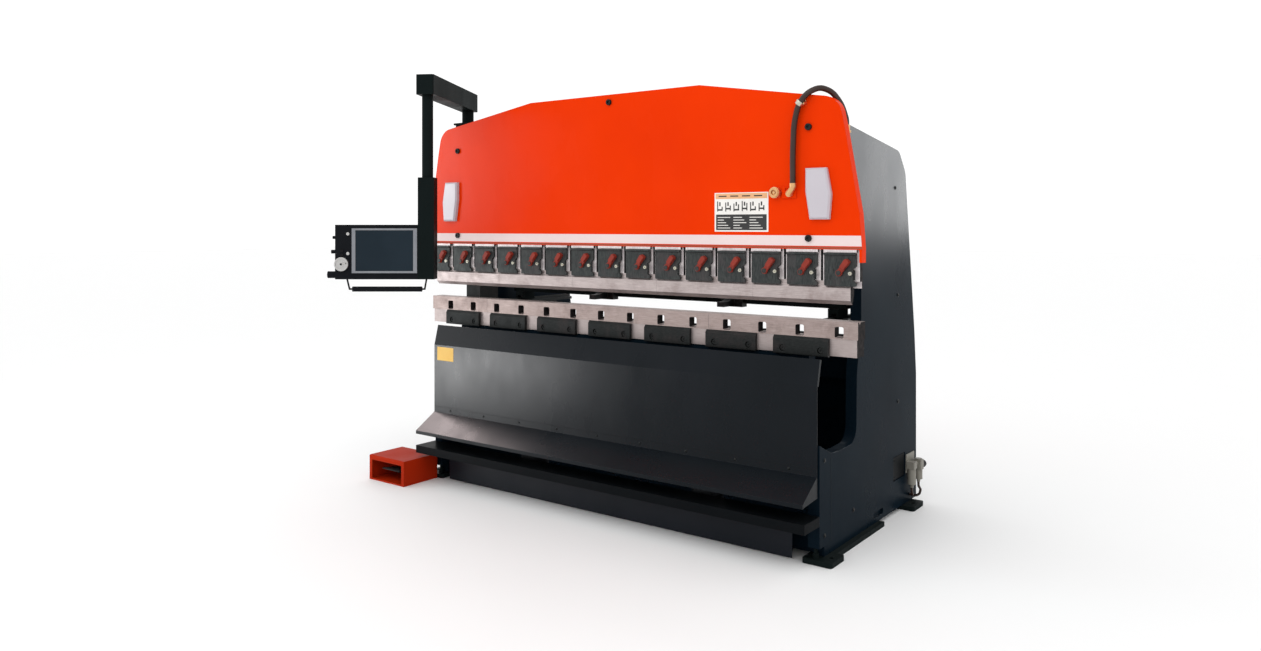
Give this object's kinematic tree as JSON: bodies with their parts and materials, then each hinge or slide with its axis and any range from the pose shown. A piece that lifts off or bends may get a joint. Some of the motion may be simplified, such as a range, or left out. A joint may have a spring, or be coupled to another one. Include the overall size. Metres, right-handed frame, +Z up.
{
  "type": "press brake",
  "caption": "Hydraulic press brake: fixed upper beam with clamped punches, rising table with V dies, back gauge, swinging control console and a foot switch.",
  "frame": {"origin": "centre of the four anchor holes in the foot pads, at floor level", "axes": "+X along the bending line to the operator's right, +Y from the operator towards the rear, +Z up"},
  "size_m": [3.137, 2.1015, 2.489],
  "materials": {
    "frame_paint": "gloss blue-black enamel",
    "beam_paint": "gloss orange-red enamel",
    "pale_cover": "satin pale grey enamel",
    "black_paint": "satin black enamel",
    "grey_paint": "satin grey enamel",
    "ground_steel": "ground, lightly oiled",
    "dark_steel": "blackened and oiled",
    "zinc_steel": "zinc plated",
    "ram_chrome": "hard chromed and ground",
    "cast_grey": "as cast, painted",
    "lever_red": "satin red-brown moulding",
    "brass": "machined",
    "hose_rubber": "dark brown cover",
    "black_plastic": "fine texture",
    "bezel_grey": "satin grey",
    "screen": "dark glossy display",
    "wheel_alu": "turned and anodised",
    "button_silver": "satin",
    "foot_orange": "satin orange-brown enamel",
    "pedal_black": "ribbed tread"
  },
  "bodies": {
    "main_frame": {"left_side_frame": "frame_paint", "right_side_frame": "frame_paint", "foot_pads": "black_paint", "cross_beams": "frame_paint", "rear_cover": "frame_paint", "kick_plate": "frame_paint", "step_ledge": "frame_paint", "table_guides": "cast_grey", "lift_cylinders": "cast_grey", "oil_tank": "grey_paint", "pump_motor": "grey_paint", "upper_beam": "beam_paint", "beam_bolts": "dark_steel", "beam_side_covers": "pale_cover", "punch_holders": "ground_steel", "clamp_plates": "dark_steel", "clamp_screws": "zinc_steel", "upper_punch": "ground_steel", "pressure_hose": "hose_rubber", "hose_fittings": "brass", "air_regulator": "wheel_alu", "regulator_hose": "hose_rubber", "backgauge_rails": "dark_steel", "console_post": "black_paint", "foot_switch_housing": "foot_orange"},
    "table": {"lower_table": "frame_paint", "ram_rods": "ram_chrome", "die_rail": "ground_steel", "v_die": "ground_steel", "die_clamps": "dark_steel", "die_clamp_screws": "dark_steel", "front_cover": "frame_paint"},
    "backgauge": {"backgauge_beam": "black_paint"},
    "finger_left": {"backgauge_finger_left": "dark_steel"},
    "finger_right": {"backgauge_finger_right": "dark_steel"},
    "swing_arm": {"console_arm": "black_paint"},
    "console": {"console_sleeve": "black_paint", "console_housing": "black_plastic", "screen_bezel": "bezel_grey", "screen_glass": "screen", "console_handle": "black_plastic"},
    "pulse_wheel": {"handwheel": "wheel_alu"},
    "start_key": {"start_button": "button_silver"},
    "select_key": {"select_button": "button_silver"},
    "pedal": {"foot_pedal": "pedal_black"},
    "lever_01": {"clamp_lever_01": "lever_red"},
    "lever_02": {"clamp_lever_02": "lever_red"},
    "lever_03": {"clamp_lever_03": "lever_red"},
    "lever_04": {"clamp_lever_04": "lever_red"},
    "lever_05": {"clamp_lever_05": "lever_red"},
    "lever_06": {"clamp_lever_06": "lever_red"},
    "lever_07": {"clamp_lever_07": "lever_red"},
    "lever_08": {"clamp_lever_08": "lever_red"},
    "lever_09": {"clamp_lever_09": "lever_red"},
    "lever_10": {"clamp_lever_10": "lever_red"},
    "lever_11": {"clamp_lever_11": "lever_red"},
    "lever_12": {"clamp_lever_12": "lever_red"},
    "lever_13": {"clamp_lever_13": "lever_red"},
    "lever_14": {"clamp_lever_14": "lever_red"},
    "lever_15": {"clamp_lever_15": "lever_red"}
  },
  "joints": [
    {"name": "table_lift", "type": "slide", "parent": "main_frame", "child": "table", "axis": [0, 0, 1], "range_m": [0, 0.078]},
    {"name": "backgauge_travel", "type": "slide", "parent": "main_frame", "child": "backgauge", "axis": [0, 1, 0], "range_m": [-0.2, 0.35]},
    {"name": "finger_left_shift", "type": "slide", "parent": "backgauge", "child": "finger_left", "axis": [1, 0, 0], "range_m": [-0.65, 0.3]},
    {"name": "finger_right_shift", "type": "slide", "parent": "backgauge", "child": "finger_right", "axis": [1, 0, 0], "range_m": [-0.35, 0.5]},
    {"name": "arm_swing", "type": "hinge", "parent": "main_frame", "child": "swing_arm", "pos_m": [-1.31, -0.354, 2.374], "axis": [0, 0, 1], "range_deg": [-40, 30]},
    {"name": "console_swivel", "type": "hinge", "parent": "swing_arm", "child": "console", "pos_m": [-0.934, -1.033, 1.8], "axis": [0, 0, 1], "range_deg": [-60, 60]},
    {"name": "pulse_wheel_spin", "type": "hinge", "parent": "console", "child": "pulse_wheel", "pos_m": [-1.29196, -1.3663, 1.391], "axis": [0.5948, -0.8039, 0], "continuous": true},
    {"name": "start_press", "type": "slide", "parent": "console", "child": "start_key", "axis": [-0.5948, 0.8039, 0], "range_m": [0, 0.004], "stiffness_N_per_m": 400},
    {"name": "select_press", "type": "slide", "parent": "console", "child": "select_key", "axis": [-0.5948, 0.8039, 0], "range_m": [0, 0.004], "stiffness_N_per_m": 400},
    {"name": "pedal_press", "type": "hinge", "parent": "main_frame", "child": "pedal", "pos_m": [-1.4515, -0.679, 0.03], "axis": [1, 0, 0], "range_deg": [0, 12], "stiffness_Nm_per_rad": 12, "springref_deg": -20.05},
    {"name": "clamp_lever_01_turn", "type": "hinge", "parent": "main_frame", "child": "lever_01", "pos_m": [-1.402, -0.516, 1.386], "axis": [0, 1, 0], "range_deg": [-66, 0]},
    {"name": "clamp_lever_02_turn", "type": "hinge", "parent": "main_frame", "child": "lever_02", "pos_m": [-1.202, -0.516, 1.386], "axis": [0, 1, 0], "range_deg": [-66, 0]},
    {"name": "clamp_lever_03_turn", "type": "hinge", "parent": "main_frame", "child": "lever_03", "pos_m": [-1.002, -0.516, 1.386], "axis": [0, 1, 0], "range_deg": [-66, 0]},
    {"name": "clamp_lever_04_turn", "type": "hinge", "parent": "main_frame", "child": "lever_04", "pos_m": [-0.802, -0.516, 1.386], "axis": [0, 1, 0], "range_deg": [-66, 0]},
    {"name": "clamp_lever_05_turn", "type": "hinge", "parent": "main_frame", "child": "lever_05", "pos_m": [-0.602, -0.516, 1.386], "axis": [0, 1, 0], "range_deg": [-66, 0]},
    {"name": "clamp_lever_06_turn", "type": "hinge", "parent": "main_frame", "child": "lever_06", "pos_m": [-0.402, -0.516, 1.386], "axis": [0, 1, 0], "range_deg": [-66, 0]},
    {"name": "clamp_lever_07_turn", "type": "hinge", "parent": "main_frame", "child": "lever_07", "pos_m": [-0.202, -0.516, 1.386], "axis": [0, 1, 0], "range_deg": [-66, 0]},
    {"name": "clamp_lever_08_turn", "type": "hinge", "parent": "main_frame", "child": "lever_08", "pos_m": [-0.002, -0.516, 1.386], "axis": [0, 1, 0], "range_deg": [-66, 0]},
    {"name": "clamp_lever_09_turn", "type": "hinge", "parent": "main_frame", "child": "lever_09", "pos_m": [0.198, -0.516, 1.386], "axis": [0, 1, 0], "range_deg": [-66, 0]},
    {"name": "clamp_lever_10_turn", "type": "hinge", "parent": "main_frame", "child": "lever_10", "pos_m": [0.398, -0.516, 1.386], "axis": [0, 1, 0], "range_deg": [-66, 0]},
    {"name": "clamp_lever_11_turn", "type": "hinge", "parent": "main_frame", "child": "lever_11", "pos_m": [0.598, -0.516, 1.386], "axis": [0, 1, 0], "range_deg": [-66, 0]},
    {"name": "clamp_lever_12_turn", "type": "hinge", "parent": "main_frame", "child": "lever_12", "pos_m": [0.798, -0.516, 1.386], "axis": [0, 1, 0], "range_deg": [-66, 0]},
    {"name": "clamp_lever_13_turn", "type": "hinge", "parent": "main_frame", "child": "lever_13", "pos_m": [0.998, -0.516, 1.386], "axis": [0, 1, 0], "range_deg": [-66, 0]},
    {"name": "clamp_lever_14_turn", "type": "hinge", "parent": "main_frame", "child": "lever_14", "pos_m": [1.198, -0.516, 1.386], "axis": [0, 1, 0], "range_deg": [-66, 0]},
    {"name": "clamp_lever_15_turn", "type": "hinge", "parent": "main_frame", "child": "lever_15", "pos_m": [1.398, -0.516, 1.386], "axis": [0, 1, 0], "range_deg": [-66, 0]}
  ]
}
